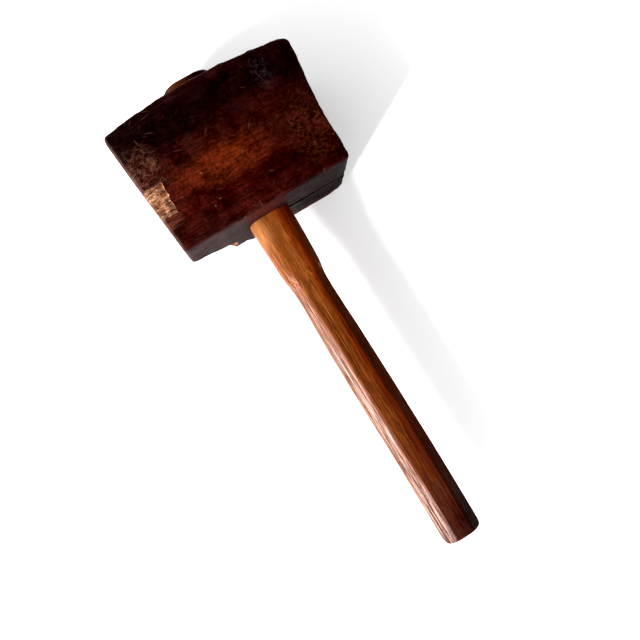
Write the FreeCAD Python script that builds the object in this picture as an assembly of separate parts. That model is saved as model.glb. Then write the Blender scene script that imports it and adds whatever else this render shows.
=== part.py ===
import FreeCAD, Part
import math
import os

# A carpenter's wooden mallet: one solid block for the head, and one handle whose
# tapered tenon is driven in from the head's top and jams in the tapered mortise.
# The mallet lies on one cheek. +Z is the cheeks' normal, +Y runs along the handle
# towards the head's top, and X runs from one striking face to the other. The
# origin is on the resting cheek, halfway up the head, on the handle's centreline.

V = FreeCAD.Vector

# ---- driving dimensions, in millimetres and degrees ----
HEAD_LENGTH = 150.0          # between the top corners, before they wear round
HEAD_HEIGHT = 105.5          # underside to the crown of the arched top
HEAD_DEPTH = 76.0            # cheek to cheek
CROWN_RADIUS = 420.0         # arch of the top, about one swing's radius
FACE_LEAN_DEG = 5.2          # each striking face leans in towards the grip
TOP_CORNER_RADIUS = 6.0      # worn top corners
HEEL_RADIUS = 4.5            # worn lower corner of the +X striking face
CRISP_RADIUS = 1.5           # lower corner of the -X striking face, less worn
CHEEK_EDGE_RADIUS = 2.0      # worn edges all round both cheeks
DISH_DEPTH = 1.7             # hollow beaten into the +X striking face
DISH_HEIGHT = 62.0           # how much of that face's height is hollow

TENON_WIDTH = 33.3           # tenon across X at the head's underside
TENON_THICKNESS = 29.0       # tenon across Z at the head's underside
TENON_CORNER = 11.0          # radius of the tenon's long corners at the underside
TENON_TAPER = 0.031          # growth of the width per millimetre towards the top
TENON_PROUD = 13.5           # how far the tenon stands above the crown
TENON_FIT = 0.05             # gap per side between the tenon and the mortise
TENON_END_RADIUS = 1.5       # worn rim of the tenon's end

HANDLE_REACH = 270.0         # underside of the head to the grip's end
GRIP_PASS = 3.8              # the grip is this much narrower than the mortise
NECK_REACH = 44.0            # underside to the end of the round-cornered neck
NECK_SWELL = 1.3             # how much fuller the neck's end is than the swell
WAIST_REACH = 60.0           # underside to the slimmest place
WAIST_NIP = 2.6              # how much slimmer the waist is than the swell
BELLY_SHARE = 0.32           # where the grip is full again, from waist to end
BELLY_NIP = 0.2              # how much slimmer the belly is than the swell
SWELL_SETBACK = 28.0         # widest place of the grip to its end
END_NIP = 0.5                # how much slimmer the grip's end is than the swell
GRIP_THINNING = 5.5          # the grip is this much thinner than the tenon
FLAT_SHARE = 0.45            # share of the grip's width kept by the flats
SIDE_SHARE = 0.34            # share of the grip's thickness kept by the sides
GRIP_END_RADIUS = 3.0        # worn rim of the grip's end

SPLIT_MOUTH = 2.4            # drying split: width where it leaves the mortise
SPLIT_TIP = 0.6              # drying split: width at its far end
SPLIT_RISE = 30.0            # drying split: how far it runs up into the head
SPLIT_MARGIN = 9.0           # sound wood left between the split and the face
SPLIT_DRIFT = 2.0            # how far the split wanders towards the resting cheek

BREAK_DEEP = 42.3            # broken corner: its reach across the -X face
BREAK_SHALLOW = 26.0         # broken corner: its reach near the handle
BREAK_SLIVER = 11.0          # broken corner: its reach beside the mortise
BREAK_RISE = 34.0            # broken corner: its reach up the -X face
BREAK_INSET = 10.0           # mortise to where the break deepens

# ---- derived positions ----
UNDERSIDE = -HEAD_HEIGHT / 2.0
CROWN = HEAD_HEIGHT / 2.0
MID_Z = HEAD_DEPTH / 2.0
TENON_TOP = CROWN + TENON_PROUD
GRIP_END = UNDERSIDE - HANDLE_REACH
HALF_TOP = HEAD_LENGTH / 2.0
ARCH_DROP = CROWN_RADIUS - math.sqrt(CROWN_RADIUS ** 2 - HALF_TOP ** 2)
TOP_CORNER_Y = CROWN - ARCH_DROP
LEAN = math.radians(FACE_LEAN_DEG)
HALF_BOTTOM = HALF_TOP - (TOP_CORNER_Y - UNDERSIDE) * math.tan(LEAN)
BELLY_REACH = WAIST_REACH + (HANDLE_REACH - WAIST_REACH) * BELLY_SHARE
SWELL_REACH = HANDLE_REACH - SWELL_SETBACK
SWELL_WIDTH = TENON_WIDTH - GRIP_PASS
NECK_WIDTH = SWELL_WIDTH + NECK_SWELL
GRIP_THICKNESS = TENON_THICKNESS - GRIP_THINNING
OVERCUT = 2.0                # how far a cutter runs past the surface it opens


def rounded_section(y, width, thickness, corner):
    """A rectangle with round corners, square to the handle's axis."""
    x1 = width / 2.0
    z1 = thickness / 2.0
    x0 = x1 - corner
    z0 = z1 - corner
    bow = corner * math.sqrt(0.5)
    rims = [
        (V(x0, y, z1), V(x0 + bow, y, z0 + bow), V(x1, y, z0)),
        (V(x1, y, -z0), V(x0 + bow, y, -z0 - bow), V(x0, y, -z1)),
        (V(-x0, y, -z1), V(-x0 - bow, y, -z0 - bow), V(-x1, y, -z0)),
        (V(-x1, y, z0), V(-x0 - bow, y, z0 + bow), V(-x0, y, z1)),
    ]
    edges = []
    for index, (start, middle, end) in enumerate(rims):
        edges.append(Part.Arc(start, middle, end).toShape())
        edges.append(Part.makeLine(end, rims[(index + 1) % 4][0]))
    wire = Part.Wire(edges)
    wire.translate(V(0, 0, MID_Z))
    return wire


def octagon_section(y, width, thickness):
    """The grip's section: flats, sides and broad chamfers between them."""
    x1 = width / 2.0
    z1 = thickness / 2.0
    x0 = x1 * FLAT_SHARE
    z0 = z1 * SIDE_SHARE
    rims = [(x0, z1), (x1, z0), (x1, -z0), (x0, -z1)]
    rims += [(-x0, -z1), (-x1, -z0), (-x1, z0), (-x0, z1)]
    points = [V(x, y, z + MID_Z) for x, z in rims]
    return Part.makePolygon(points + points[:1])


def taper_section(y, gap):
    """The mortise's section at one height, made smaller all round by the gap."""
    growth = 1.0 + TENON_TAPER * (y - UNDERSIDE) / TENON_WIDTH
    width = TENON_WIDTH * growth - 2.0 * gap
    thickness = TENON_THICKNESS * growth - 2.0 * gap
    return rounded_section(y, width, thickness, TENON_CORNER * growth - gap)


def head_block():
    """The block with its arched top and leaning faces, corners worn round."""
    low_left = V(-HALF_BOTTOM, UNDERSIDE, 0)
    low_right = V(HALF_BOTTOM, UNDERSIDE, 0)
    top_right = V(HALF_TOP, TOP_CORNER_Y, 0)
    top_left = V(-HALF_TOP, TOP_CORNER_Y, 0)
    outline = Part.Wire([
        Part.makeLine(low_left, low_right),
        Part.makeLine(low_right, top_right),
        Part.Arc(top_right, V(0, CROWN, 0), top_left).toShape(),
        Part.makeLine(top_left, low_left),
    ])
    block = Part.Face(outline).extrude(V(0, 0, HEAD_DEPTH))
    block = round_corner(block, top_left, TOP_CORNER_RADIUS)
    block = round_corner(block, top_right, TOP_CORNER_RADIUS)
    block = round_corner(block, low_right, HEEL_RADIUS)
    return round_corner(block, low_left, CRISP_RADIUS)


def round_corner(block, corner, radius):
    """Round the one edge that rises from this corner of the outline."""
    middle = V(corner.x, corner.y, MID_Z)
    spot = Part.Vertex(middle)
    edges = [edge for edge in block.Edges if edge.distToShape(spot)[0] < 1e-6]
    return block.makeFillet(radius, edges)


def wear_cheeks(block):
    """Round the edges that run round both cheeks."""
    edges = []
    for edge in block.Edges:
        heights = [vertex.Z for vertex in edge.Vertexes]
        if max(heights) - min(heights) < 1e-6:
            edges.append(edge)
    return block.makeFillet(CHEEK_EDGE_RADIUS, edges)


def face_dish():
    """A long drum whose flank takes the hollow out of the +X striking face."""
    radius = DISH_HEIGHT ** 2 / (8.0 * DISH_DEPTH)
    middle = V((HALF_TOP + HALF_BOTTOM) / 2.0, (TOP_CORNER_Y + UNDERSIDE) / 2.0, -OVERCUT)
    normal = V(math.cos(LEAN), -math.sin(LEAN), 0)
    centre = middle + normal * (radius - DISH_DEPTH)
    return Part.makeCylinder(radius, HEAD_DEPTH + 2.0 * OVERCUT, centre, V(0, 0, 1))


def mortise():
    """The tapered hole through the head, open at the underside and the top."""
    low = taper_section(UNDERSIDE - OVERCUT, 0.0)
    high = taper_section(CROWN + OVERCUT, 0.0)
    return Part.makeLoft([low, high], True, True)


def drying_split():
    """The open split that runs along the grain from the mortise to the +X face."""
    start = TENON_WIDTH / 2.0 - OVERCUT
    end = HALF_BOTTOM - SPLIT_MARGIN
    low = UNDERSIDE - OVERCUT
    far_z = MID_Z - SPLIT_DRIFT
    points = [
        V(start, low, MID_Z + SPLIT_MOUTH / 2.0),
        V(start, low, MID_Z - SPLIT_MOUTH / 2.0),
        V(end, low, far_z - SPLIT_TIP / 2.0),
        V(end, low, far_z + SPLIT_TIP / 2.0),
    ]
    plan = Part.Face(Part.makePolygon(points + points[:1]))
    return plan.extrude(V(0, SPLIT_RISE + OVERCUT, 0))


def broken_corner():
    """The piece missing from the lower corner by the resting cheek and the -X face."""
    low = UNDERSIDE - OVERCUT
    out = -HALF_TOP - OVERCUT
    beside = -TENON_WIDTH / 2.0
    under = -OVERCUT
    rim = [
        V(out, low, under),
        V(out, low, BREAK_DEEP + OVERCUT),
        V(beside - BREAK_INSET, low, BREAK_SHALLOW),
        V(beside - BREAK_INSET, low, BREAK_SLIVER),
        V(beside, low, BREAK_SLIVER),
        V(beside + BREAK_INSET, low, under),
    ]
    peak = V(out, UNDERSIDE + BREAK_RISE, under)
    faces = [Part.Face(Part.makePolygon(rim + rim[:1]))]
    for index in range(1, len(rim) - 1):
        side = [rim[index], rim[index + 1], peak]
        faces.append(Part.Face(Part.makePolygon(side + side[:1])))
    first = [rim[0], rim[1], peak]
    faces.append(Part.Face(Part.makePolygon(first + first[:1])))
    last = [rim[-1], rim[0], peak]
    faces.append(Part.Face(Part.makePolygon(last + last[:1])))
    return Part.makeSolid(Part.makeShell(faces))


def make_head():
    """The worn block with its mortise, its split and its missing corner."""
    head = wear_cheeks(head_block())
    head = head.cut(face_dish())
    head = head.cut(mortise())
    head = head.cut(drying_split())
    return head.cut(broken_corner())


def handle_tenon():
    """The tapered part inside the head, with its worn end above the crown."""
    low = taper_section(UNDERSIDE, TENON_FIT)
    high = taper_section(TENON_TOP, TENON_FIT)
    tenon = Part.makeLoft([low, high], True, True)
    rim = [edge for edge in tenon.Edges if min(v.Y for v in edge.Vertexes) > CROWN]
    return tenon.makeFillet(TENON_END_RADIUS, rim)


def neck_end():
    """The neck's section where its round corners stop."""
    thickness = (TENON_THICKNESS + GRIP_THICKNESS) / 2.0
    return rounded_section(UNDERSIDE - NECK_REACH, NECK_WIDTH, thickness, TENON_CORNER)


def handle_neck():
    """The round-cornered stretch that slims down below the head."""
    near = taper_section(UNDERSIDE, TENON_FIT)
    return Part.makeLoft([near, neck_end()], True, True)


def handle_waist():
    """The short stretch where the round corners run out into chamfers."""
    waist = octagon_section(UNDERSIDE - WAIST_REACH, SWELL_WIDTH - WAIST_NIP, GRIP_THICKNESS)
    return Part.makeLoft([neck_end(), waist], True, True)


def handle_grip():
    """The eight-sided grip, full at the belly and fullest at the swell."""
    stations = [
        (WAIST_REACH, SWELL_WIDTH - WAIST_NIP),
        (BELLY_REACH, SWELL_WIDTH - BELLY_NIP),
        (SWELL_REACH, SWELL_WIDTH),
        (HANDLE_REACH, SWELL_WIDTH - END_NIP),
    ]
    wires = [octagon_section(UNDERSIDE - y, width, GRIP_THICKNESS) for y, width in stations]
    grip = Part.makeLoft(wires, True, True)
    edge_limit = GRIP_END + OVERCUT
    rim = [edge for edge in grip.Edges if max(v.Y for v in edge.Vertexes) < edge_limit]
    return grip.makeFillet(GRIP_END_RADIUS, rim)


def make_handle():
    """Tenon, neck, waist and grip as the one stick of wood they are."""
    return handle_tenon().fuse([handle_neck(), handle_waist(), handle_grip()])


os.makedirs("parts", exist_ok=True)
make_head().exportStep("parts/head.step")
make_handle().exportStep("parts/handle.step")
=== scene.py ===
import math

import bmesh
import bpy
import numpy as np
from mathutils import Matrix, Vector


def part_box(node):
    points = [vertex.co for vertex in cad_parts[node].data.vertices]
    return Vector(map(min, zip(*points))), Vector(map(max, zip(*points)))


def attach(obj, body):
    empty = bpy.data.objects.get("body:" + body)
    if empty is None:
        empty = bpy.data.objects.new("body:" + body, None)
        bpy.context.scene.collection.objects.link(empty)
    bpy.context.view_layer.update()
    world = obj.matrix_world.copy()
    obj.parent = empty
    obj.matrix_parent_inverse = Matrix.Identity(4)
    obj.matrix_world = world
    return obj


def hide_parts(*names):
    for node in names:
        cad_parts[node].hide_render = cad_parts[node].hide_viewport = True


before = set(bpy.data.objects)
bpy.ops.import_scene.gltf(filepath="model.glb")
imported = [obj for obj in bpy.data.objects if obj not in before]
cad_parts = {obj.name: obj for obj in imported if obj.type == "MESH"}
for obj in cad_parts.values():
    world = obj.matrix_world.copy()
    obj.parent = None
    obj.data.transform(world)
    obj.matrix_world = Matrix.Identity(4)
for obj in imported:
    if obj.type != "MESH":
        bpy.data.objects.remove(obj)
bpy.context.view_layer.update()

# ---------------------------------------------------------------------------
# Head: one block of dark stained hardwood, its grain running from face to face, sawn with leaning
# faces and an arched top. Blows have rounded, hollowed, flaked, split and broken it, and the
# handle is jammed in the tapered mortise that is chopped right through it.
# ---------------------------------------------------------------------------
MM = 0.001
NEAR = 0.01 * MM

head_low, head_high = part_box("head")
UNDERSIDE = head_low.y
CROWN = head_high.y
CHEEK = head_high.z
MID_Z = (head_low.z + head_high.z) / 2
HALF_TOP = 75.0 * MM
HALF_BOTTOM = 66.0 * MM
CROWN_RADIUS = 420.0 * MM
ARCH_DROP = CROWN_RADIUS - math.sqrt(CROWN_RADIUS ** 2 - HALF_TOP ** 2)
TOP_CORNER_Y = CROWN - ARCH_DROP
LEAN = (HALF_TOP - HALF_BOTTOM) / (TOP_CORNER_Y - UNDERSIDE)
COLUMNS = 20
ROWS = 10
ROW_STEP = 8.4 * MM
DISH_DEPTH = 1.7 * MM
DISH_HEIGHT = 62.0 * MM
DISH_MIDDLE = (TOP_CORNER_Y + UNDERSIDE) / 2
HEEL_SWELL = 1.6 * MM
HEEL_HEIGHT = 30.0 * MM


def start_block(name, low, high):
    """Adds a cube that fills these corners, and opens it for editing."""
    if bpy.context.mode != "OBJECT":
        bpy.ops.object.mode_set(mode="OBJECT")
    bpy.ops.object.select_all(action="DESELECT")
    bpy.ops.mesh.primitive_cube_add(size=1.0, location=(Vector(low) + Vector(high)) / 2)
    block = bpy.context.object
    block.name = name
    block.scale = Vector(high) - Vector(low)
    bpy.ops.object.transform_apply(location=True, rotation=True, scale=True)
    bpy.ops.object.mode_set(mode="EDIT")
    return block


def pick(piece, kind, wanted):
    """Selects, in the piece being edited, every vert, edge or face that is wanted."""
    bpy.ops.mesh.select_mode(type=kind)
    bpy.ops.mesh.select_all(action="DESELECT")
    mesh = bmesh.from_edit_mesh(piece.data)
    for part in {"VERT": mesh.verts, "EDGE": mesh.edges, "FACE": mesh.faces}[kind]:
        if wanted(part):
            part.select_set(True)
    bmesh.update_edit_mesh(piece.data)


def slice_through(normal, places):
    """Cuts the piece being edited by planes across one axis, keeping both sides."""
    for place in places:
        bpy.ops.mesh.select_all(action="SELECT")
        bpy.ops.mesh.bisect(plane_co=Vector(normal) * place, plane_no=normal)


def round_edges(piece, wanted, radius, steps):
    """Rounds the edges that are wanted."""
    pick(piece, "EDGE", wanted)
    bpy.ops.mesh.bevel(offset=radius, segments=steps, affect="EDGES", clamp_overlap=False)


def use_modifier(piece, kind, **settings):
    """Gives the piece a modifier with these settings and applies it."""
    if bpy.context.mode != "OBJECT":
        bpy.ops.object.mode_set(mode="OBJECT")
    bpy.ops.object.select_all(action="DESELECT")
    piece.select_set(True)
    bpy.context.view_layer.objects.active = piece
    modifier = piece.modifiers.new(kind.lower(), kind)
    for name, value in settings.items():
        setattr(modifier, name, value)
    bpy.ops.object.modifier_apply(modifier=modifier.name)


def half_length(y):
    """Half the block's length between its leaning faces at this height."""
    return HALF_BOTTOM + LEAN * (y - UNDERSIDE)


def hollow(y):
    """How deep the +X face has been beaten in at this height."""
    reach = (y - DISH_MIDDLE) / (DISH_HEIGHT / 2)
    return DISH_DEPTH * max(0.0, 1.0 - reach ** 2)


def heel_swell(y):
    """How far the +X face bulges again below the hollow, at this height."""
    return HEEL_SWELL * max(0.0, 1.0 - (y - UNDERSIDE) / HEEL_HEIGHT)


head = start_block("mallet_head", (-HALF_TOP, UNDERSIDE, head_low.z), (HALF_TOP, CROWN, CHEEK))
columns = [HALF_TOP * (2 * step / COLUMNS - 1) for step in range(COLUMNS + 1)]
rows = [UNDERSIDE + ROW_STEP * step for step in range(ROWS + 1)]
slice_through((1, 0, 0), columns[1:-1])
slice_through((0, 1, 0), rows[1:])
for place in columns:
    drop = CROWN_RADIUS - math.sqrt(CROWN_RADIUS ** 2 - place ** 2)
    pick(head, "VERT", lambda v: abs(v.co.x - place) < NEAR and v.co.y > CROWN - NEAR)
    bpy.ops.transform.translate(value=(0, -drop, 0))
for height in rows:
    ratio = half_length(height) / HALF_TOP
    pick(head, "VERT", lambda v: abs(v.co.y - height) < NEAR)
    bpy.ops.transform.resize(value=(ratio, 1, 1), center_override=(0, height, MID_Z))
    face = half_length(height) - NEAR
    pick(head, "VERT", lambda v: abs(v.co.y - height) < NEAR and v.co.x > face)
    bpy.ops.transform.translate(value=(heel_swell(height) - hollow(height), 0, 0))


def rises_at(edge, x, y):
    """Whether an edge runs from cheek to cheek at this corner of the outline."""
    return all(abs(v.co.x - x) < NEAR and abs(v.co.y - y) < NEAR for v in edge.verts)


TOP_ROUND = 6.0 * MM
LEFT_ROUND = 4.0 * MM
HEEL_ROUND = 3.0 * MM
CRISP_ROUND = 1.5 * MM
CHEEK_ROUND = 1.5 * MM
for x, y, radius in (
    (HALF_TOP, TOP_CORNER_Y, TOP_ROUND),
    (-HALF_TOP, TOP_CORNER_Y, LEFT_ROUND),
    (HALF_BOTTOM + HEEL_SWELL, UNDERSIDE, HEEL_ROUND),
    (-HALF_BOTTOM, UNDERSIDE, CRISP_ROUND),
):
    round_edges(head, lambda e: rises_at(e, x, y), radius, 5)


def borders_cheek(edge):
    """Whether an edge parts a cheek from the surface round it."""
    flat = [abs(face.normal.z) > 0.9 for face in edge.link_faces]
    return sorted(flat) == [False, True]


round_edges(head, borders_cheek, CHEEK_ROUND, 4)
HEAD_VOXEL = 1.0 * MM
use_modifier(head, "REMESH", mode="VOXEL", voxel_size=HEAD_VOXEL, use_smooth_shade=True)

# the heel's lower corner has been knocked off
bpy.ops.object.mode_set(mode="EDIT")
heel_corner = Vector((HALF_BOTTOM, UNDERSIDE, 0))
pick(head, "VERT", lambda v: (v.co - heel_corner).length < 3 * MM)
bpy.ops.transform.translate(
    value=(-0.8 * MM, 0.8 * MM, 0.3 * MM), use_proportional_edit=True, proportional_size=9 * MM,
    proportional_edit_falloff="SMOOTH",
)
bpy.ops.object.mode_set(mode="OBJECT")


def edge_gaps(mesh):
    """Each vertex's distance, in millimetres, from the block's nearest edge."""
    points = np.empty(len(mesh.vertices) * 3)
    mesh.vertices.foreach_get("co", points)
    x, y, z = points.reshape(-1, 3).T
    arch = CROWN_RADIUS - np.hypot(x, y - (CROWN - CROWN_RADIUS))
    reach = HALF_BOTTOM + LEAN * (y - UNDERSIDE)
    walls = np.stack([z, CHEEK - z, y - UNDERSIDE, arch, reach - x, reach + x])
    return np.sort(walls, axis=0)[1] / MM


EDGE_REACH = 5.0
worn = head.vertex_groups.new(name="worn_edges")
for index, gap in enumerate(edge_gaps(head.data)):
    if gap < EDGE_REACH:
        worn.add([index], (1.0 - gap / EDGE_REACH) ** 2, "REPLACE")


def wear_down(piece, name, size, depth, stretch=(1, 1, 1), level=1.0, group=""):
    """Sinks the surface by a cloudy pattern of this size, drawn out along the grain."""
    pattern = bpy.data.textures.new(name, "CLOUDS")
    pattern.noise_scale = size
    pattern.noise_depth = 3
    guide = bpy.data.objects.new(name, None)
    bpy.context.collection.objects.link(guide)
    guide.scale = stretch
    bpy.context.view_layer.update()
    use_modifier(
        piece, "DISPLACE", texture=pattern, texture_coords="OBJECT",
        texture_coords_object=guide, strength=depth, mid_level=level, vertex_group=group,
    )
    bpy.data.objects.remove(guide)
    bpy.data.textures.remove(pattern)


wear_down(head, "hand_work", 30 * MM, 0.7 * MM, level=0.72)
wear_down(head, "knocks", 7 * MM, 0.3 * MM, (2.5, 1, 1), 0.72)
wear_down(head, "nibbled_edges", 6 * MM, 2.2 * MM, (1.6, 1, 1), 0.7, "worn_edges")

# the worn block is a hair smaller than it was when new
WORN_SHARE = 0.9982
bpy.ops.object.mode_set(mode="EDIT")
bpy.ops.mesh.select_all(action="SELECT")
bpy.ops.transform.resize(value=(WORN_SHARE, 1, WORN_SHARE), center_override=(0, 0, MID_Z))
bpy.ops.object.mode_set(mode="OBJECT")


# The stain is old and uneven: near black across the top, red-brown below, and
# worn through to a warm brown in the middle. The same wood, raw, shows where
# it has flaked or broken.
# In this light wood shows this many times brighter than its own colour.
LIT = 2.1


def seen(red, green, blue):
    """The wood's own colour, from the 0 to 255 colour it shows in this light."""
    linear = []
    for value in (red, green, blue):
        share = value / 255
        bright = share / 12.92 if share < 0.04045 else ((share + 0.055) / 1.055) ** 2.4
        linear.append(bright / LIT)
    return (*linear, 1)


def put(tree, kind, values=None, **settings):
    """Adds a node; each value fills a socket, or is linked to it if it is one."""
    node = tree.nodes.new("ShaderNode" + kind)
    for name, value in settings.items():
        setattr(node, name, value)
    for name, value in (values or {}).items():
        if isinstance(value, bpy.types.NodeSocket):
            tree.links.new(value, node.inputs[name])
        else:
            node.inputs[name].default_value = value
    return node


def maths(tree, operation, first, second=0.0, clamp=False):
    """One sum on two values."""
    return put(tree, "Math", {0: first, 1: second}, operation=operation, use_clamp=clamp).outputs[0]


def times(tree, first, second, clamp=False):
    """Two values multiplied."""
    return maths(tree, "MULTIPLY", first, second, clamp)


def centred(tree, value, size):
    """A cloudy value moved to lie round nought, and given this size."""
    return times(tree, maths(tree, "SUBTRACT", value, 0.5), size)


def spread(tree, value, low, high, to_low=0.0, to_high=1.0):
    """A smooth step from one value to another as the input passes from low to high."""
    values = {
        "Value": value, "From Min": low, "From Max": high, "To Min": to_low, "To Max": to_high,
    }
    return put(tree, "MapRange", values, interpolation_type="SMOOTHSTEP").outputs["Result"]


def blended(tree, share, below, above, how="MIX"):
    """One colour over another, by a share."""
    node = tree.nodes.new("ShaderNodeMix")
    node.data_type = "RGBA"
    node.blend_type = how
    for socket, value in ((0, share), (6, below), (7, above)):
        if isinstance(value, bpy.types.NodeSocket):
            tree.links.new(value, node.inputs[socket])
        else:
            node.inputs[socket].default_value = value
    return node.outputs[2]


def ramp(tree, value, stops):
    """A run of colours along a value, from (place, colour) stops."""
    node = put(tree, "ValToRGB", {"Fac": value})
    band = node.color_ramp
    while len(band.elements) < len(stops):
        band.elements.new(1.0)
    for element, (place, colour) in zip(band.elements, stops):
        element.position = place
        element.color = colour
    return node.outputs["Color"]


def noise(tree, place, scale, detail=4.0, roughness=0.55):
    """A cloudy value round a half, at this many waves to the metre."""
    values = {"Vector": place, "Scale": scale, "Detail": detail, "Roughness": roughness}
    return put(tree, "TexNoise", values).outputs["Fac"]


def start_group(name, inputs, outputs):
    """A shader node group with named sockets."""
    group = bpy.data.node_groups.new(name, "ShaderNodeTree")
    for socket, kind, value in inputs:
        made = group.interface.new_socket(socket, in_out="INPUT", socket_type="NodeSocket" + kind)
        if value is not None:
            made.default_value = value
    for socket, kind in outputs:
        group.interface.new_socket(socket, in_out="OUTPUT", socket_type="NodeSocket" + kind)
    given = group.nodes.new("NodeGroupInput").outputs
    result = group.nodes.new("NodeGroupOutput").inputs
    return group, given, result


def use_group(tree, group, values):
    """Places a node group and fills its sockets."""
    node = tree.nodes.new("ShaderNodeGroup")
    node.node_tree = group
    for name, value in values.items():
        if isinstance(value, bpy.types.NodeSocket):
            tree.links.new(value, node.inputs[name])
        else:
            node.inputs[name].default_value = value
    return node.outputs


# Wood figure: fine fibres, broad bands of colour and open pores, all drawn out
# along the grain by the Run of the wood.
figure, given, result = start_group(
    "wood_figure",
    [("Place", "Vector", None), ("Run", "Vector", (1, 1, 1)), ("Pore Share", "Float", 0.4)],
    [("Fibre", "Float"), ("Band", "Float"), ("Pore", "Float"), ("Relief", "Float")],
)
drawn = put(
    figure, "VectorMath", {0: given["Place"], 1: given["Run"]}, operation="MULTIPLY",
).outputs[0]
fibre = spread(figure, noise(figure, drawn, 1.0, 6.0, 0.7), 0.32, 0.68)
band = spread(figure, noise(figure, drawn, 0.16, 3.0, 0.5), 0.34, 0.66)
pore_cloud = noise(figure, drawn, 1.9, 2.0, 0.6)
pore_edge = maths(figure, "ADD", given["Pore Share"], 0.06)
pore = spread(figure, pore_cloud, pore_edge, given["Pore Share"])
relief = maths(figure, "SUBTRACT", fibre, times(figure, pore, 1.2))
for name, value in (("Fibre", fibre), ("Band", band), ("Pore", pore), ("Relief", relief)):
    figure.links.new(value, result[name])

# Patch: a mask for one place, round or square, with an edge that is as ragged as it is asked to be.
# Patches mark stains, scuffs and flakes, and also painted light and painted shade.
patch, given, result = start_group(
    "patch_of_wear_and_light",
    [
        ("Place", "Vector", None), ("Centre", "Vector", (0, 0, 0)),
        ("Half Size", "Vector", (1, 1, 1)),
        ("Squareness", "Float", 0.0), ("Softness", "Float", 0.3), ("Ragged", "Float", 0.4),
        ("Ragged Scale", "Float", 150.0),
    ],
    [("Mask", "Float")],
)
ragged = put(
    patch, "TexNoise", {"Vector": given["Place"], "Scale": given["Ragged Scale"], "Detail": 4.0},
)
ragged = put(
    patch, "VectorMath", {0: ragged.outputs["Color"], 1: (0.5, 0.5, 0.5)}, operation="SUBTRACT",
)
ragged = put(patch, "VectorMath", {0: ragged.outputs[0]}, operation="SCALE")
patch.links.new(given["Ragged"], ragged.inputs["Scale"])
offset = put(patch, "VectorMath", {0: given["Place"], 1: given["Centre"]}, operation="SUBTRACT")
offset = put(patch, "VectorMath", {0: offset.outputs[0], 1: given["Half Size"]}, operation="DIVIDE")
offset = put(patch, "VectorMath", {0: offset.outputs[0], 1: ragged.outputs[0]}, operation="ADD")
radial = put(patch, "VectorMath", {0: offset.outputs[0]}, operation="LENGTH").outputs["Value"]
sides = put(patch, "VectorMath", {0: offset.outputs[0]}, operation="ABSOLUTE")
sides = put(patch, "SeparateXYZ", {0: sides.outputs[0]}).outputs
boxed = maths(patch, "MAXIMUM", maths(patch, "MAXIMUM", sides[0], sides[1]), sides[2])
reach = put(patch, "Mix", {"Factor": given["Squareness"]})
patch.links.new(radial, reach.inputs[2])
patch.links.new(boxed, reach.inputs[3])
outer = maths(patch, "ADD", 1.0, given["Softness"])
inner = maths(patch, "SUBTRACT", 1.0, given["Softness"])
patch.links.new(spread(patch, reach.outputs[0], outer, inner), result["Mask"])

# Scratches: short pale lines that lie at all angles, more of them where the
# Amount is higher, and rare small specks.
scratches, given, result = start_group(
    "scratches",
    [("Place", "Vector", None), ("Amount", "Float", 0.5), ("Fineness", "Float", 1.0)],
    [("Lines", "Float"), ("Specks", "Float")],
)
sized = put(scratches, "VectorMath", {0: given["Place"]}, operation="SCALE")
scratches.links.new(given["Fineness"], sized.inputs["Scale"])
lines = None
for turn, stretch, seed in ((20, 14, 3.0), (-50, 10, 11.0), (75, 12, 23.0), (-12, 18, 37.0)):
    turned = put(
        scratches, "Mapping",
        {
            "Vector": sized.outputs[0], "Rotation": (0, 0, math.radians(turn)),
            "Location": (seed, seed, 0),
        },
    )
    run = (900 / stretch, 900, 300)
    drawn = put(scratches, "VectorMath", {0: turned.outputs[0], 1: run}, operation="MULTIPLY")
    cloud = noise(scratches, drawn.outputs[0], 1.0, 1.5, 0.4)
    rarity = maths(scratches, "SUBTRACT", 0.80, times(scratches, given["Amount"], 0.15))
    line = spread(scratches, cloud, rarity, 0.82)
    lines = line if lines is None else maths(scratches, "MAXIMUM", lines, line)
grit = noise(scratches, sized.outputs[0], 330, 3.0, 0.5)
rare = spread(scratches, noise(scratches, sized.outputs[0], 26, 1.0, 0.5), 0.52, 0.66)
speck = times(scratches, spread(scratches, grit, 0.69, 0.73), rare)
scratches.links.new(lines, result["Lines"])
scratches.links.new(speck, result["Specks"])


def start_material(name):
    """A material with its tree, its shader and the place of each point on the piece."""
    made = bpy.data.materials.new(name)
    made.use_nodes = True
    tree = made.node_tree
    coordinates = tree.nodes.new("ShaderNodeTexCoord")
    return made, tree, tree.nodes["Principled BSDF"], coordinates.outputs


def patch_mask(tree, place, centre, half, **values):
    """The mask of one patch, its centre and half size given in millimetres; patches mark wear, and
    also painted light and shade.
    """
    sockets = {"Place": place, "Centre": Vector(centre) * MM, "Half Size": Vector(half) * MM}
    for name, value in values.items():
        sockets[name.replace("_", " ").title()] = value
    return use_group(tree, patch, sockets)["Mask"]


head_wood, tree, shader, given = start_material("head_wood")
place = given["Object"]
across = put(tree, "SeparateXYZ", {0: place}).outputs
facing = put(tree, "SeparateXYZ", {0: given["Normal"]}).outputs
grain = use_group(tree, figure, {"Place": place, "Run": (34, 700, 700), "Pore Share": 0.36})
drift = noise(tree, place, 28, 4.0, 0.6)
mottle = noise(tree, place, 85, 5.0, 0.65)
height = maths(tree, "ADD", across[1], centred(tree, drift, 30 * MM))
height = maths(tree, "ADD", height, centred(tree, grain["Band"], 4 * MM))
height = put(
    tree, "MapRange", {"Value": height, "From Min": UNDERSIDE, "From Max": CROWN},
).outputs[0]
stain = ramp(tree, height, [
    (0.00, seen(44, 13, 11)), (0.10, seen(54, 15, 12)), (0.20, seen(42, 11, 9)),
    (0.27, seen(56, 15, 9)), (0.42, seen(66, 20, 12)), (0.52, seen(54, 17, 12)),
    (0.64, seen(42, 13, 11)), (0.72, seen(21, 6, 6)), (0.86, seen(19, 7, 7)),
    (1.00, seen(38, 14, 13)),
])
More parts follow.
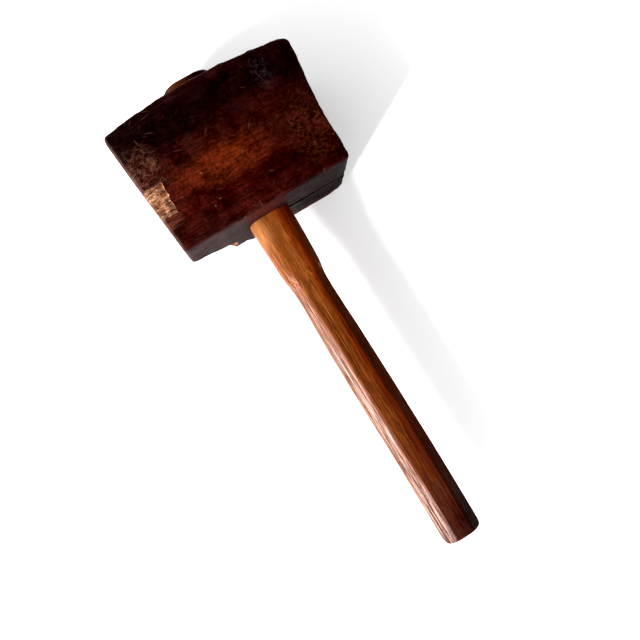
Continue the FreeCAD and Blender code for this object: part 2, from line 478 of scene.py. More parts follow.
glow = patch_mask(
    tree, place, (-10, -11.5, 76), (32, 12.5, 30), ragged=0.35, softness=0.55, ragged_scale=90.0,
)
glow = times(tree, glow, spread(tree, noise(tree, place, 60, 5.0, 0.7), 0.34, 0.60, 0.35, 0.85))
stain = blended(tree, glow, stain, seen(100, 35, 14))
heel_gloom = times(
    tree, spread(tree, across[0], 20 * MM, 48 * MM), spread(tree, across[1], -24 * MM, -36 * MM),
)
stain = blended(tree, times(tree, heel_gloom, 0.85), stain, seen(28, 4, 3))
edge_gloom = times(
    tree, spread(tree, across[0], 48 * MM, 66 * MM), spread(tree, across[1], -30 * MM, -8 * MM),
)
stain = blended(tree, times(tree, edge_gloom, 0.7), stain, seen(24, 8, 8))
low_band = patch_mask(
    tree, place, (-24, -31, 76), (30, 5.5, 30), squareness=1.0, softness=0.12, ragged=0.15,
)
stain = blended(tree, times(tree, low_band, 0.7), stain, seen(58, 12, 9))
bruise = patch_mask(tree, place, (24, -31, 76), (17, 8, 30), ragged=0.7, softness=0.5)
stain = blended(tree, times(tree, bruise, 0.8), stain, seen(27, 3, 2))
right_gloom = patch_mask(tree, place, (45, -4, 76), (24, 17, 30), ragged=0.7, softness=0.6)
stain = blended(tree, times(tree, right_gloom, 0.7), stain, seen(37, 10, 7))
fibre_light = spread(tree, grain["Fibre"], 0.0, 1.0, 0.72, 1.34)
stain = blended(tree, 1.0, stain, fibre_light, "MULTIPLY")
mottle_light = spread(tree, mottle, 0.33, 0.67, 0.42, 1.58)
crumbs = spread(tree, noise(tree, place, 420, 5.0, 0.75), 0.36, 0.66, 0.60, 1.45)
stain = blended(tree, 1.0, stain, crumbs, "MULTIPLY")
stain = blended(tree, 1.0, stain, mottle_light, "MULTIPLY")
stain = blended(tree, times(tree, grain["Pore"], 0.55), stain, seen(14, 3, 3))

# end grain: growth rings, with the heart of the tree below the underside
HEART_DROP = 85 * MM
HEART_HEIGHT = 22 * MM
RINGS_PER_METRE = 330.0
ring_y = maths(tree, "ADD", across[1], HEART_DROP)
ring_z = maths(tree, "SUBTRACT", across[2], HEART_HEIGHT)
ring_square = maths(tree, "ADD", times(tree, ring_y, ring_y), times(tree, ring_z, ring_z))
ring_reach = maths(tree, "SQRT", ring_square)
ring_reach = maths(tree, "ADD", ring_reach, times(tree, drift, 0.012))
ring = maths(tree, "FRACT", times(tree, ring_reach, RINGS_PER_METRE))
ring = spread(tree, ring, 0.15, 0.95)
end_pores = spread(tree, noise(tree, place, 1500, 2.0, 0.6), 0.52, 0.62)
ring_share = times(tree, ring, spread(tree, drift, 0.35, 0.60, 0.25, 0.85))
end_tone = blended(tree, ring_share, seen(32, 11, 9), seen(56, 21, 16))
end_tone = blended(tree, times(tree, end_pores, 0.5), end_tone, seen(14, 5, 5))
end_tone = blended(tree, 1.0, end_tone, mottle_light, "MULTIPLY")
end_face = spread(tree, maths(tree, "ABSOLUTE", facing[0]), 0.80, 0.95)
stain = blended(tree, end_face, stain, end_tone)

# the underside is dark with dirt, painted grey over it: a painted sheen of the window, which lights
# it at a grazing angle. It is browner in front of the handle
under = spread(tree, facing[1], -0.55, -0.80)
underside_tone = blended(tree, grain["Fibre"], seen(18, 6, 7), seen(66, 38, 42))
# painted shade: the board below the split is painted darker and less grey than the upper board
lower_board = times(
    tree, spread(tree, across[2], 37 * MM, 34 * MM), spread(tree, across[0], 10 * MM, 16 * MM),
)
underside_tone = blended(
    tree, lower_board, underside_tone, blended(tree, grain["Fibre"], seen(14, 4, 4), seen(56, 20, 18)),
)
low_rim = times(tree, lower_board, spread(tree, across[2], 14 * MM, 5 * MM))
underside_tone = blended(tree, times(tree, low_rim, 0.8), underside_tone, seen(110, 36, 34))
# the underside is darker towards +X
underside_fade = spread(tree, across[0], -50 * MM, 60 * MM, 0.84, 0.32)
underside_tone = blended(tree, 1.0, underside_tone, underside_fade, "MULTIPLY")
# browner in front of the handle
warm_patch = patch_mask(
    tree, place, (-4, -52.75, 66), (15, 6, 11), ragged=0.6, softness=0.5, ragged_scale=260.0,
)
underside_tone = blended(tree, times(tree, warm_patch, 0.7), underside_tone, seen(76, 30, 22))
stain = blended(tree, under, stain, underside_tone)

# worn edges: paler and pinker where hands and blows have gone through the stain
gap = put(tree, "Attribute", attribute_name="edge_gap").outputs["Fac"]
edge = spread(tree, maths(tree, "ADD", gap, times(tree, mottle, 5.0)), 5.4, 1.6)
rim = spread(tree, across[1], -46 * MM, -30 * MM, 0.12, 0.5)
rim = times(tree, rim, maths(tree, "SUBTRACT", 1.0, heel_gloom))
stain = blended(tree, times(tree, edge, rim), stain, seen(96, 42, 34))
# the -X edges, toward the windows, are paler still: worn edges with painted light on them
left_edge = times(tree, edge, spread(tree, across[0], -62 * MM, -68 * MM))
stain = blended(tree, times(tree, left_edge, 0.5), stain, seen(140, 108, 100))

# scuffs on the cheek that faces up, and lighter ones on every other side
drawn_out = put(tree, "VectorMath", {0: place, 1: (70, 620, 620)}, operation="MULTIPLY").outputs[0]
marks = use_group(tree, scratches, {"Place": place, "Amount": 0.45, "Fineness": 1.0})
scuff_left = patch_mask(
    tree, place, (-62, 11, 76), (11, 15, 12), squareness=0.5, ragged=0.9, softness=0.5,
)
scuff_right = patch_mask(
    tree, place, (45, 31, 76), (6.5, 13, 12), squareness=0.3, ragged=0.6, softness=0.6,
    ragged_scale=300.0,
)
bloom = patch_mask(tree, place, (52, -20, 76), (17, 23, 14), ragged=0.9, softness=0.7)
torn = patch_mask(
    tree, place, (-63, -30, 76), (8, 5, 12), squareness=0.8, ragged=0.5, softness=0.25,
)
torn = times(tree, torn, spread(tree, noise(tree, drawn_out, 1.0, 4.0, 0.6), 0.42, 0.60))
stain = blended(tree, times(tree, torn, 0.65), stain, seen(120, 66, 50))
rubs = use_group(tree, scratches, {"Place": place, "Amount": 1.0, "Fineness": 1.6})
haze = spread(tree, noise(tree, place, 330, 5.0, 0.75), 0.46, 0.66)


def hazed(tree, strength):
    """Scratches over a haze of this strength."""
    return maths(tree, "MAXIMUM", times(tree, haze, strength), rubs["Lines"])


worn_left = times(tree, scuff_left, hazed(tree, 0.42))
stain = blended(tree, times(tree, worn_left, 0.8), stain, seen(156, 104, 84))
chip = patch_mask(
    tree, place, (-54, 13.5, 76), (2.8, 3.6, 4), squareness=0.5, ragged=0.7, softness=0.3,
    ragged_scale=420.0,
)
chip = times(tree, chip, spread(tree, haze, 0.0, 1.0, 0.45, 1.0))
stain = blended(tree, times(tree, chip, 0.34), stain, seen(150, 98, 72))
worn_right = times(tree, scuff_right, hazed(tree, 0.7))
stain = blended(tree, times(tree, worn_right, 0.36), stain, seen(86, 76, 84))
bloom_fleck = times(tree, bloom, hazed(tree, 0.55))
stain = blended(tree, times(tree, bloom_fleck, 0.55), stain, seen(122, 70, 46))
stain = blended(tree, times(tree, marks["Lines"], 0.42), stain, seen(140, 84, 66))
stain = blended(tree, times(tree, marks["Specks"], 0.42), stain, seen(160, 108, 84))
tree.links.new(stain, shader.inputs["Base Color"])
sheen = times(tree, scuff_left, 0.25)
rough = spread(tree, mottle, 0.3, 0.7, 0.46, 0.62)
dulled = maths(tree, "ADD", sheen, times(tree, under, 0.1))
rough = maths(tree, "ADD", rough, dulled, True)
tree.links.new(rough, shader.inputs["Roughness"])
shader.inputs["Specular IOR Level"].default_value = 0.03
relief = maths(tree, "ADD", grain["Relief"], times(tree, mottle, 1.5))
relief = maths(tree, "SUBTRACT", relief, times(tree, marks["Lines"], 0.8))
bump = put(tree, "Bump", {"Height": relief, "Distance": 0.00035, "Strength": 0.55})
tree.links.new(bump.outputs["Normal"], shader.inputs["Normal"])

# Raw wood: what shows where the head has flaked, split or broken, fibrous and
# tan when fresh, brown where dirt has got in.
raw_wood, tree, shader, given = start_material("raw_wood")
place = given["Object"]
across = put(tree, "SeparateXYZ", {0: place}).outputs
grain = use_group(tree, figure, {"Place": place, "Run": (60, 620, 620), "Pore Share": 0.40})
tangle = noise(tree, place, 190, 5.0, 0.7)
fresh = ramp(
    tree, grain["Fibre"],
    [(0.0, seen(74, 28, 16)), (0.42, seen(176, 112, 76)), (1.0, seen(246, 200, 158))],
)
soiled = blended(tree, 0.6, fresh, seen(110, 52, 32))
fresh = blended(tree, spread(tree, tangle, 0.42, 0.62), soiled, fresh)
old = ramp(
    tree, grain["Fibre"],
    [(0.0, seen(14, 6, 6)), (0.5, seen(48, 22, 18)), (1.0, seen(110, 64, 48))],
)
# painted shade: near black inside the split, where the upper board shades the gap
split_shade = patch_mask(
    tree, place, (36, -40, 37), (42, 30, 9), squareness=1.0, ragged=0.05, softness=0.1,
)
old = blended(tree, split_shade, old, seen(3, 2, 2))
flake = patch_mask(
    tree, place, (-63, -13.5, 76), (10, 12, 9), squareness=1.0, ragged=0.3, softness=0.15,
)
# the sliver of the break faces the windows and is painted pale: raw wood with painted light on it
sliver = patch_mask(
    tree, place, (-25, -52, 18), (11, 12, 12), squareness=0.6, ragged=0.4, softness=0.4,
)
bright = maths(tree, "MAXIMUM", flake, times(tree, sliver, 0.7))
colour = blended(tree, bright, old, fresh)
colour = blended(tree, times(tree, grain["Pore"], 0.6), colour, seen(44, 18, 14))
tree.links.new(colour, shader.inputs["Base Color"])
tree.links.new(spread(tree, tangle, 0.3, 0.7, 0.62, 0.85), shader.inputs["Roughness"])
shader.inputs["Specular IOR Level"].default_value = 0.1
relief = maths(tree, "ADD", grain["Relief"], times(tree, tangle, 2.0))
bump = put(tree, "Bump", {"Height": relief, "Distance": 0.0006, "Strength": 0.7})
tree.links.new(bump.outputs["Normal"], shader.inputs["Normal"])

head.data.materials.append(head_wood)

# The flake, the broken corner, the split and the mortise are taken out of the
# finished block, so that their walls are raw.


def cut_out(piece, cutter):
    """Takes the cutter out of the piece; the new walls keep the cutter's material."""
    use_modifier(
        piece, "BOOLEAN", object=cutter, operation="DIFFERENCE", solver="EXACT",
        material_mode="TRANSFER",
    )
    bpy.data.objects.remove(cutter, do_unlink=True)


flake_low = Vector((-80, -26.5, 73.6)) * MM
flake_high = Vector((-55.5, -1.5, 80)) * MM
flake_cut = start_block("flake_cut", flake_low, flake_high)
slice_through((1, 0, 0), [x * MM for x in (-72, -68, -64, -60, -57)])
slice_through((0, 1, 0), [y * MM for y in (-22, -17, -12, -7)])
pick(flake_cut, "VERT", lambda v: v.co.z < 75 * MM and v.co.x < -63 * MM)
bpy.ops.transform.translate(value=(0, 0, -1.3 * MM))
pick(flake_cut, "VERT", lambda v: v.co.z < 75 * MM and v.co.x < -71 * MM)
bpy.ops.transform.translate(value=(0, 0, -3.0 * MM))
pick(flake_cut, "VERT", lambda v: v.co.z < 75 * MM and abs(v.co.y + 26.5 * MM) < NEAR)
bpy.ops.transform.translate(value=(0, 0, 1.8 * MM))
use_modifier(flake_cut, "REMESH", mode="VOXEL", voxel_size=0.5 * MM, use_smooth_shade=True)
wear_down(flake_cut, "torn_edge", 7 * MM, 3.2 * MM, level=0.5)
wear_down(flake_cut, "torn_fibres", 1.6 * MM, 1.5 * MM, (4, 1, 1), 0.5)
flake_cut.data.materials.append(raw_wood)
cut_out(head, flake_cut)

# the broken corner follows the grain, so its walls are long splintered steps
break_rim = [(-79, -2), (-79, 44.3), (-26.65, 26), (-26.65, 11), (-16.65, 11), (-6.65, -2)]
break_floor = -54.75
break_peak = (-79, -18.75, -2)
corners = [(x * MM, break_floor * MM, z * MM) for x, z in break_rim]
corners.append(tuple(value * MM for value in break_peak))
last = len(break_rim)
walls = [tuple(range(last))] + [(step, last, (step + 1) % last) for step in range(last)]
break_mesh = bpy.data.meshes.new("break_cut")
break_mesh.from_pydata(corners, [], walls)
break_cut = bpy.data.objects.new("break_cut", break_mesh)
bpy.context.collection.objects.link(break_cut)
bpy.ops.object.select_all(action="DESELECT")
break_cut.select_set(True)
bpy.context.view_layer.objects.active = break_cut
bpy.ops.object.mode_set(mode="EDIT")
bpy.ops.mesh.select_all(action="SELECT")
bpy.ops.mesh.normals_make_consistent(inside=False)
use_modifier(break_cut, "REMESH", mode="VOXEL", voxel_size=0.6 * MM, use_smooth_shade=True)
wear_down(break_cut, "long_splinters", 4.0 * MM, 4.5 * MM, (9, 1.4, 1), 0.5)
wear_down(break_cut, "short_splinters", 1.5 * MM, 1.1 * MM, (5, 1.2, 1), 0.5)
break_cut.data.materials.append(raw_wood)
cut_out(head, break_cut)

SPLIT_START = 12.0 * MM
SPLIT_END = 69.0 * MM
SPLIT_MOUTH = 4.2 * MM
SPLIT_TIP = 2.6 * MM
SPLIT_DRIFT = 2.0 * MM
SPLIT_TOP = UNDERSIDE + 30.0 * MM
split_cut = start_block(
    "split_cut",
    (SPLIT_START, UNDERSIDE - 2 * MM, MID_Z - SPLIT_MOUTH / 2),
    (SPLIT_END, SPLIT_TOP, MID_Z + SPLIT_MOUTH / 2),
)
SPLIT_TURNS = (0.0, 0.5, -0.2, 0.7, 0.1, 0.9, 0.3, 0.6, -0.1, 0.4)
split_step = (SPLIT_END - SPLIT_START) / len(SPLIT_TURNS)
stops = [SPLIT_START + split_step * (turn + 1) for turn in range(len(SPLIT_TURNS))]
slice_through((1, 0, 0), stops[:-1])
slice_through((0, 1, 0), [UNDERSIDE + 14 * MM, UNDERSIDE + 3 * MM])
for stop, turn in zip(stops, SPLIT_TURNS):
    share = (stop - SPLIT_START) / (SPLIT_END - SPLIT_START)
    thin = 1.0 + (SPLIT_TIP / SPLIT_MOUTH - 1.0) * share
    pick(split_cut, "VERT", lambda v: abs(v.co.x - stop) < NEAR)
    bpy.ops.transform.resize(value=(1, 1, thin), center_override=(stop, UNDERSIDE, MID_Z))
    bpy.ops.transform.translate(value=(0, 0, turn * MM - SPLIT_DRIFT * share))
pick(split_cut, "VERT", lambda v: v.co.y > SPLIT_TOP - NEAR)
bpy.ops.transform.resize(value=(1, 1, 0.2), center_override=(0, SPLIT_TOP, MID_Z - SPLIT_DRIFT / 2))
bpy.ops.object.mode_set(mode="OBJECT")
split_cut.data.materials.append(raw_wood)
cut_out(head, split_cut)

# the mortise is chopped a hair wider than the tenon, and tapers with it
TENON_WIDTH = 33.3 * MM
TENON_THICKNESS = 29.0 * MM
TENON_CORNER = 11.0 * MM
TENON_TAPER = 0.031
MORTISE_EASE = 0.25 * MM
mortise_cut = start_block(
    "mortise_cut",
    (-TENON_WIDTH / 2, UNDERSIDE, MID_Z - TENON_THICKNESS / 2),
    (TENON_WIDTH / 2, CROWN, MID_Z + TENON_THICKNESS / 2),
)
round_edges(mortise_cut, lambda e: abs(e.verts[0].co.y - e.verts[1].co.y) > NEAR, TENON_CORNER, 10)


def tenon_growth(y):
    """How much wider the taper is at this height than at the underside."""
    return 1.0 + TENON_TAPER * (y - UNDERSIDE) / TENON_WIDTH


OVERCUT = 3.0 * MM
for y, out in ((UNDERSIDE, -OVERCUT), (CROWN, OVERCUT)):
    pick(mortise_cut, "VERT", lambda v: abs(v.co.y - y) < NEAR)
    bpy.ops.transform.translate(value=(0, out, 0))
    grown = tenon_growth(y + out)
    ease = 2 * MORTISE_EASE
    factors = (grown + ease / TENON_WIDTH, 1, grown + ease / TENON_THICKNESS)
    bpy.ops.transform.resize(value=factors, center_override=(0, y, MID_Z))
bpy.ops.object.mode_set(mode="OBJECT")
mortise_cut.data.materials.append(raw_wood)
cut_out(head, mortise_cut)


def finish_wood(piece):
    """Smooth shading, tidy doubles, and normals that point outwards."""
    bpy.ops.object.select_all(action="DESELECT")
    piece.select_set(True)
    bpy.context.view_layer.objects.active = piece
    bpy.ops.object.mode_set(mode="EDIT")
    bpy.ops.mesh.select_all(action="SELECT")
    bpy.ops.mesh.remove_doubles(threshold=0.001 * MM)
    bpy.ops.mesh.normals_make_consistent(inside=False)
    bpy.ops.object.mode_set(mode="OBJECT")
    bpy.ops.object.shade_smooth_by_angle(angle=math.radians(38))


finish_wood(head)
head.vertex_groups.clear()
gap_layer = head.data.attributes.new("edge_gap", "FLOAT", "POINT")
gap_layer.data.foreach_set("value", edge_gaps(head.data))
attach(head, "head")
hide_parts("head")

# ---------------------------------------------------------------------------
# Handle: one stick of open-pored hardwood, its grain along its length. The tapered tenon is driven
# in from the top of the head and stands proud of it; below the neck the grip is spokeshaved to
# eight sides, and hands have polished it.
# ---------------------------------------------------------------------------
handle_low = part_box("handle")[0]
# how far below the head, how wide, how thick and how far off centre
GRIP_STATIONS = (
    (12, 33.0, 28.2, 0.0), (27, 31.9, 27.2, 0.0), (42, 30.9, 26.2, -0.1), (47, 30.2, 25.6, -0.2),
    (51, 28.9, 25.0, -0.3), (55, 27.7, 24.5, -0.4), (60, 27.1, 23.9, -0.5), (68, 26.9, 23.5, -0.5),
    (77, 27.3, 23.5, -0.5), (87, 27.7, 23.5, -0.5), (97, 28.3, 23.5, -0.5), (107, 28.8, 23.5, -0.5),
    (117, 29.1, 23.5, -0.5), (135, 29.3, 23.5, -0.4), (165, 29.4, 23.5, -0.3),
    (200, 29.4, 23.5, -0.15), (230, 29.4, 23.5, -0.4), (257, 29.4, 23.5, -0.7),
    (264, 29.2, 23.5, -0.8), (270, 28.9, 23.5, -0.85),
)
handle = start_block(
    "mallet_handle",
    (-TENON_WIDTH / 2, UNDERSIDE, MID_Z - TENON_THICKNESS / 2),
    (TENON_WIDTH / 2, CROWN + 1 * MM, MID_Z + TENON_THICKNESS / 2),
)
round_edges(handle, lambda e: abs(e.verts[0].co.y - e.verts[1].co.y) > NEAR, TENON_CORNER, 10)
top_y = CROWN + 1 * MM
pick(handle, "FACE", lambda f: f.normal.y > 0.9)
grown = tenon_growth(top_y)
bpy.ops.transform.resize(value=(grown, 1, grown), center_override=(0, top_y, MID_Z))

# hammering has spread the tenon's end a little, most on the -X side
for rise, factor, shift in (
    (6.0, 1.055, -0.6), (3.7, 1.030, -0.7), (1.9, 0.98, 0.0), (0.8, 0.87, 0.2),
):
    bpy.ops.mesh.extrude_region_move(TRANSFORM_OT_translate={"value": (shift * MM, rise * MM, 0)})
    bpy.ops.transform.resize(value=(factor, 1, factor), center_override=(0, top_y, MID_Z))

pick(handle, "FACE", lambda f: f.normal.y < -0.9)
width, thickness, middle, reach = TENON_WIDTH, TENON_THICKNESS, 0.0, 0.0
for station in GRIP_STATIONS:
    next_reach, next_width, next_thickness, next_middle = (value * MM for value in station)
    step = (next_middle - middle, reach - next_reach, 0)
    bpy.ops.mesh.extrude_region_move(TRANSFORM_OT_translate={"value": step})
    centre = (next_middle, UNDERSIDE - next_reach, MID_Z)
    factors = (next_width / width, 1, next_thickness / thickness)
    bpy.ops.transform.resize(value=factors, center_override=centre)
    width, thickness, middle, reach = next_width, next_thickness, next_middle, next_reach

# the worn rim of the grip's end: three short rings that pull in
GRIP_END = handle_low.y
END_RIM = 3.6 * MM
pick(handle, "VERT", lambda v: v.co.y < GRIP_END + NEAR)
bpy.ops.transform.translate(value=(0, END_RIM, 0))
end_plane = GRIP_END + END_RIM + NEAR
pick(handle, "FACE", lambda f: f.normal.y < -0.9 and f.calc_center_median().y < end_plane)
previous = END_RIM
for back, factor in ((1.6 * MM, 0.94), (0.5 * MM, 0.86), (0.0, 0.72)):
    bpy.ops.mesh.extrude_region_move(TRANSFORM_OT_translate={"value": (0, back - previous, 0)})
    centre = (middle, GRIP_END + back, MID_Z)
    bpy.ops.transform.resize(value=(factor, 1, factor), center_override=centre)
    previous = back

# each chamfer is one long stroke that starts in a point below the neck
FLAT_SHARE = 0.45
CHAMFER_NORMAL = Vector((0.691, 0, 0.7225))
CHAMFER_RUN = Vector((0.7225, 0, -0.691))
CHAMFER_LIFTS = (
    (44, 2.6), (47, 1.75), (50, 1.05), (53, 0.55), (57, 0.2), (62, 0.0), (68, 0.0), (77, 0.0),
    (87, 0.0), (97, 0.0), (107, 0.0), (117, 0.0), (135, 0.0), (165, 0.0), (200, 0.0), (230, 0.0),
    (257, 0.0), (275, 0.0),
)


def grip_at(reach):
    """The grip's width, thickness and middle at this reach, in millimetres."""
    reaches, *columns = zip(*GRIP_STATIONS)
    return [np.interp(reach, reaches, column) for column in columns]


def chamfer_cut(side_x, side_z, skew):
    """A long bar whose inner face planes one chamfer of the grip."""
    half, high = 14 * MM, 8 * MM
    cutter = start_block("chamfer_cut", (-half, -1 * MM, 0), (half, 0, high))
    places = []
    for reach, lift in CHAMFER_LIFTS:
        width, thickness, middle = grip_at(reach)
        across_flat = FLAT_SHARE * width / 2 * CHAMFER_NORMAL.x + thickness / 2 * CHAMFER_NORMAL.z
        out = (across_flat + lift + skew) * MM
        places.append((middle * MM, UNDERSIDE - reach * MM, out))
    pick(cutter, "FACE", lambda f: f.normal.y < -0.9)
    for before, after in zip(places, places[1:]):
        bpy.ops.mesh.extrude_region_move(
            TRANSFORM_OT_translate={"value": (0, after[1] - before[1], 0)}
        )
    bpy.ops.object.mode_set(mode="OBJECT")
    mesh = bmesh.new()
    mesh.from_mesh(cutter.data)
    levels = sorted({round(v.co.y, 6) for v in mesh.verts}, reverse=True)
    ring_of = {level: max(0, index - 1) for index, level in enumerate(levels)}
    for v in mesh.verts:
        middle, y, out = places[ring_of[round(v.co.y, 6)]]
        run = CHAMFER_RUN * v.co.x + CHAMFER_NORMAL * (v.co.z + out)
        extra = 1 * MM if round(v.co.y, 6) == levels[0] else 0.0
        v.co = Vector((middle + side_x * run.x, y + extra, MID_Z + side_z * run.z))
    mesh.to_mesh(cutter.data)
    mesh.free()
    bpy.ops.object.mode_set(mode="EDIT")
    bpy.ops.mesh.select_all(action="SELECT")
    bpy.ops.mesh.normals_make_consistent(inside=False)
    bpy.ops.object.mode_set(mode="OBJECT")
    return cutter


for side_x, side_z, skew in ((1, 1, 0.15), (-1, 1, 0.0), (1, -1, 0.1), (-1, -1, 0.2)):
    cut_out(handle, chamfer_cut(side_x, side_z, skew))

# a knock has left a nick in the neck's +X edge
nick_cut = start_block("nick_cut", Vector((13.2, -107, 44)) * MM, Vector((18, -101, 53)) * MM)
bpy.ops.transform.rotate(
    value=math.radians(24), orient_axis="Z", center_override=Vector((15, -104, 48)) * MM,
)
cut_out(handle, nick_cut)
HANDLE_VOXEL = 0.75 * MM
use_modifier(handle, "REMESH", mode="VOXEL", voxel_size=HANDLE_VOXEL, use_smooth_shade=True)
use_modifier(handle, "SMOOTH", factor=0.5, iterations=9)
wear_down(handle, "shave_marks", 22 * MM, 0.45 * MM, (1, 3, 1), 0.65)
wear_down(handle, "hand_dents", 5 * MM, 0.12 * MM, (1, 3, 1), 0.6)

handle_wood, tree, shader, given = start_material("handle_wood")
place = given["Object"]
across = put(tree, "SeparateXYZ", {0: place}).outputs
facing = put(tree, "SeparateXYZ", {0: given["Normal"]}).outputs
grain = use_group(tree, figure, {"Place": place, "Run": (1050, 8, 1050), "Pore Share": 0.43})
flecks = use_group(tree, figure, {"Place": place, "Run": (1300, 45, 1300), "Pore Share": 0.42})
cloud = noise(tree, place, 38, 4.0, 0.6)
along = put(
    tree, "MapRange", {"Value": across[1], "From Min": UNDERSIDE, "From Max": handle_low.y},
).outputs[0]
shifted = maths(tree, "ADD", along, centred(tree, cloud, 0.16))
colour = ramp(tree, shifted, [
    (0.00, seen(158, 86, 38)), (0.16, seen(156, 86, 36)), (0.34, seen(146, 78, 31)),
    (0.60, seen(134, 67, 25)), (0.80, seen(116, 54, 18)), (0.93, seen(96, 40, 17)),
    (1.00, seen(70, 26, 14)),
])
# painted shade: the +X side of the grip, away from the windows, is darker and redder
shaded_side = maths(tree, "ADD", across[0], centred(tree, cloud, 8 * MM))
shaded_side = maths(tree, "ADD", shaded_side, times(tree, along, 3 * MM))
shaded_side = spread(tree, shaded_side, -0.5 * MM, 5.5 * MM)
shaded_side_tone = blended(tree, 1.0, colour, (0.52, 0.20, 0.14, 1), "MULTIPLY")
colour = blended(tree, times(tree, shaded_side, 0.78), colour, shaded_side_tone)
dark = blended(tree, 1.0, colour, (0.38, 0.26, 0.22, 1), "MULTIPLY")
pale = blended(tree, 1.0, colour, (1.55, 1.62, 1.75, 1), "MULTIPLY")
colour = blended(tree, spread(tree, grain["Band"], 0.2, 1.0), colour, pale)
streaky = spread(tree, across[0], -4 * MM, 10 * MM, 0.42, 0.50)
streaky = times(tree, maths(tree, "SUBTRACT", 1.0, grain["Fibre"]), streaky)
colour = blended(tree, streaky, colour, dark)
fine_lines = times(tree, maths(tree, "SUBTRACT", 1.0, flecks["Fibre"]), 0.36)
colour = blended(tree, fine_lines, colour, dark)
# painted highlight: pale pink streaks along the -X chamfer, which faces the windows, beyond the
# neck
left_highlight = times(
    tree, spread(tree, across[0], -7.8 * MM, -10 * MM), spread(tree, along, 0.14, 0.30),
)
left_highlight = times(tree, left_highlight, spread(tree, flecks["Fibre"], 0.2, 0.8, 0.10, 0.50))
colour = blended(tree, left_highlight, colour, seen(214, 158, 128))
# painted light: the neck's -X side, which faces the windows, is paler and yellower
neck_light = patch_mask(tree, place, (-14, -63, 48), (8, 11, 16), ragged=0.5, softness=0.7)
colour = blended(tree, times(tree, neck_light, 0.55), colour, seen(206, 138, 82))
open_grain = spread(tree, along, 0.08, 0.40, 0.45, 1.0)
long_pores = times(tree, times(tree, grain["Pore"], 0.80), open_grain)
colour = blended(tree, long_pores, colour, seen(46, 14, 8))
short_pores = times(tree, times(tree, flecks["Pore"], 0.75), open_grain)
colour = blended(tree, short_pores, colour, seen(58, 20, 10))
singe = patch_mask(tree, place, (10, -318, 46), (12, 20, 14), ragged=0.8, softness=0.6)
colour = blended(tree, times(tree, singe, 0.75), colour, seen(34, 9, 8))
nick = patch_mask(
    tree, place, (12.8, -103, 47), (1.5, 2.2, 3), ragged=0.9, softness=0.3, ragged_scale=500.0,
)
colour = blended(tree, times(tree, nick, 0.7), colour, seen(150, 112, 92))
ends = spread(tree, maths(tree, "ABSOLUTE", facing[1]), 0.72, 0.92)
end_pores = spread(tree, noise(tree, place, 1100, 3.0, 0.7), 0.50, 0.60)
end_tone = blended(tree, end_pores, seen(112, 54, 34), seen(42, 16, 12))
colour = blended(tree, ends, colour, end_tone)
marks = use_group(tree, scratches, {"Place": place, "Amount": 0.25, "Fineness": 1.0})
colour = blended(tree, times(tree, marks["Lines"], 0.35), colour, seen(64, 24, 14))
inside = maths(tree, "GREATER_THAN", across[1], UNDERSIDE)
tenon_tone = blended(tree, 1.0, colour, (0.22, 0.15, 0.14, 1), "MULTIPLY")
# painted light: a bright orange spot on the -X side of the tenon's proud end
warm_patch = patch_mask(tree, place, (-9, 58, 53), (10, 9, 9), ragged=0.6, softness=0.5)
tenon_tone = blended(tree, times(tree, warm_patch, 0.75), tenon_tone, seen(150, 80, 46))
colour = blended(tree, times(tree, inside, 0.9), colour, tenon_tone)
tree.links.new(colour, shader.inputs["Base Color"])
rough = spread(tree, cloud, 0.3, 0.7, 0.30, 0.40)
rough = maths(tree, "ADD", times(tree, grain["Pore"], 0.10), rough, True)
tree.links.new(rough, shader.inputs["Roughness"])
shader.inputs["Specular IOR Level"].default_value = 0.02
polish = maths(tree, "ADD", across[0], centred(tree, grain["Fibre"], 3 * MM))
polish = spread(tree, polish, -6.6 * MM, -8.6 * MM)
polish = times(tree, polish, spread(tree, shifted, 0.10, 0.32, 0.35, 1.0))
polish = times(tree, polish, spread(tree, grain["Fibre"], 0.15, 0.85, 0.25, 1.0))
polish = times(tree, polish, spread(tree, flecks["Fibre"], 0.30, 0.70, 0.10, 1.0))
unfilled = times(tree, grain["Pore"], 0.85)
polish = times(tree, polish, maths(tree, "SUBTRACT", 1.0, unfilled), True)
tree.links.new(polish, shader.inputs["Coat Weight"])
shader.inputs["Coat Roughness"].default_value = 0.30
relief = maths(tree, "SUBTRACT", times(tree, grain["Fibre"], 0.35), grain["Pore"])
relief = maths(tree, "SUBTRACT", relief, times(tree, flecks["Pore"], 0.6))
bump = put(tree, "Bump", {"Height": relief, "Distance": 0.00025, "Strength": 0.6})
tree.links.new(bump.outputs["Normal"], shader.inputs["Normal"])

handle.data.materials.clear()
handle.data.materials.append(handle_wood)
finish_wood(handle)
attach(handle, "handle")
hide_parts("handle")

# ---------------------------------------------------------------------------
# Camera: a hand-held view from above, over the left of the head, with the handle running away to
# the lower right.
# ---------------------------------------------------------------------------
CAMERA_PLACE = Vector((-0.0587, -0.1695, 0.5430))
CAMERA_RIGHT = Vector((0.8507, -0.5231, 0.0518))
CAMERA_UP = Vector((0.5161, 0.8499, 0.1065))
CAMERA_BACK = Vector((-0.0997, -0.0638, 0.9930))

bpy.ops.object.select_all(action="DESELECT")
bpy.ops.object.camera_add(location=CAMERA_PLACE)
camera = bpy.context.object
camera.name = "camera"
camera.data.sensor_width = 36.0
camera.data.lens = 38.98
camera.rotation_mode = "QUATERNION"
camera_axes = Matrix((CAMERA_RIGHT, CAMERA_UP, CAMERA_BACK)).transposed()
camera.rotation_quaternion = camera_axes.to_quaternion()
camera.data.clip_start = 0.01
bpy.context.scene.camera = camera
view = bpy.context.scene.view_settings
view.view_transform = "Standard"
view.use_curve_mapping = True
view.curve_mapping.black_level = (0.006, 0.006, 0.006)
view.curve_mapping.update()

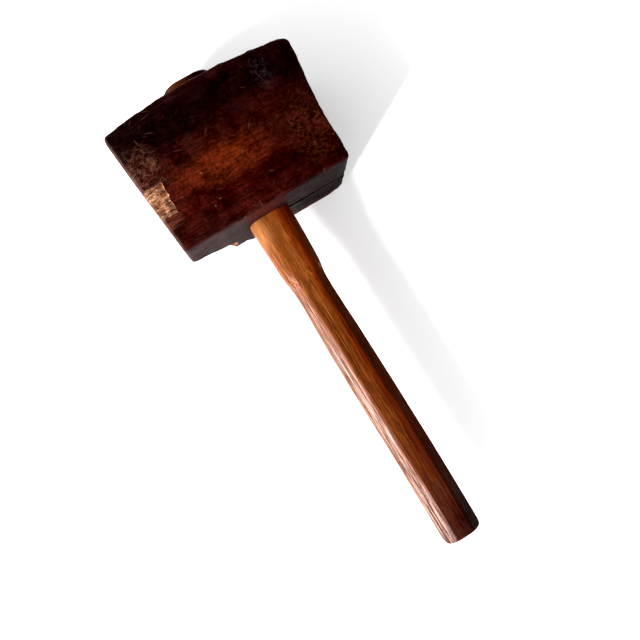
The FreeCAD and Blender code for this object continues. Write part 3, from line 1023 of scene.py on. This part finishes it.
# ---------------------------------------------------------------------------
# Floor and light: a white table by two windows on the side of the -X striking face, one high and
# one low. The rest of the room is a soft pale ring that is dim overhead.
# ---------------------------------------------------------------------------
bpy.ops.mesh.primitive_plane_add(size=8.0, location=(0, 0, 0))
floor = bpy.context.object
floor.name = "floor"
floor_paint = bpy.data.materials.new("floor_paint")
floor_paint.use_nodes = True
floor_shader = floor_paint.node_tree.nodes["Principled BSDF"]
floor_shader.inputs["Base Color"].default_value = (0.87, 0.87, 0.87, 1)
floor_shader.inputs["Roughness"].default_value = 0.9
floor_shader.inputs["Specular IOR Level"].default_value = 0.1
floor_shader.inputs["Emission Color"].default_value = (1, 1, 1, 1)
floor_shader.inputs["Emission Strength"].default_value = 0.21
floor.data.materials.append(floor_paint)

WINDOW_DIRECTION = Vector((-0.773, -0.392, 0.500)).normalized()
WINDOW_DISTANCE = 2.4
WINDOW_SIDE = Vector((-0.892, -0.452, 0.0))
bpy.ops.object.light_add(type="AREA", location=WINDOW_DIRECTION * WINDOW_DISTANCE)
window = bpy.context.object
window.name = "window"
window.data.shape = "RECTANGLE"
window.data.size = 0.26
window.data.size_y = 0.45
window.data.energy = 165.0
window.data.color = (1.0, 0.985, 0.96)
window.rotation_mode = "QUATERNION"
window.rotation_quaternion = WINDOW_DIRECTION.to_track_quat("Z", "Y")

LOW_DIRECTION = Vector((-0.968, -0.165, 0.152)).normalized()
bpy.ops.object.light_add(type="AREA", location=LOW_DIRECTION * WINDOW_DISTANCE)
low_window = bpy.context.object
low_window.name = "low_window"
low_window.data.shape = "RECTANGLE"
low_window.data.size = 1.2
low_window.data.size_y = 0.4
low_window.data.energy = 42.0
low_window.data.color = (1.0, 0.96, 0.95)
low_window.rotation_mode = "QUATERNION"
low_window.rotation_quaternion = LOW_DIRECTION.to_track_quat("Z", "Y")

room = bpy.data.worlds.new("room")
bpy.context.scene.world = room
room.use_nodes = True
sky = room.node_tree
background = sky.nodes["Background"]
place = sky.nodes.new("ShaderNodeTexCoord")
split = sky.nodes.new("ShaderNodeSeparateXYZ")
dim = sky.nodes.new("ShaderNodeMapRange")
dim.interpolation_type = "SMOOTHSTEP"
dim.inputs["From Min"].default_value = 0.40
dim.inputs["From Max"].default_value = 0.80
dim.inputs["To Min"].default_value = 2.9
dim.inputs["To Max"].default_value = 0.02
sky.links.new(place.outputs["Generated"], split.inputs["Vector"])
sky.links.new(split.outputs["Z"], dim.inputs["Value"])
towards = put(
    sky, "VectorMath", {0: place.outputs["Generated"], 1: WINDOW_SIDE}, operation="DOT_PRODUCT",
)
side = put(
    sky, "MapRange",
    {
        "Value": towards.outputs["Value"], "From Min": -1.0, "From Max": 1.0,
        "To Min": 0.15, "To Max": 1.85,
    },
)
glow = times(sky, dim.outputs["Result"], side.outputs["Result"])
sky.links.new(glow, background.inputs["Strength"])
background.inputs["Color"].default_value = (1.0, 1.0, 1.0, 1)
